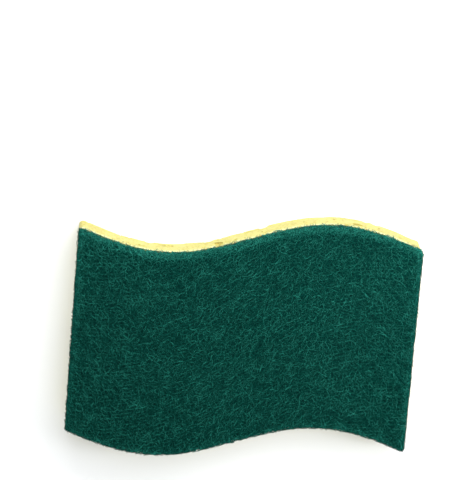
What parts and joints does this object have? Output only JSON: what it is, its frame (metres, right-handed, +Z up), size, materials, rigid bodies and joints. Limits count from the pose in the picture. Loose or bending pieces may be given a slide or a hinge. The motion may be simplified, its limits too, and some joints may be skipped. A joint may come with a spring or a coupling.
{
  "type": "cleaning sponge",
  "caption": "Wavy scrub sponge: a yellow open-celled cellulose block with a dark green nonwoven scouring pad bonded to its top.",
  "frame": {"origin": "middle of the underside of the cellulose block, where the sponge lies on a table", "axes": "+X along the sponge, +Y across it towards one wavy side, +Z up through the layers to the scouring pad"},
  "size_m": [0.1142, 0.083, 0.016],
  "materials": {
    "cellulose": "dry matte open-celled cellulose sponge",
    "adhesive": "satin laminating adhesive",
    "scouring_web": "resin-bound nonwoven fibre web, matte with a faint sheen on the fibres"
  },
  "bodies": {
    "root": {"cellulose_block": "cellulose", "adhesive_bond": "adhesive", "scouring_pad": "scouring_web"}
  },
  "joints": []
}
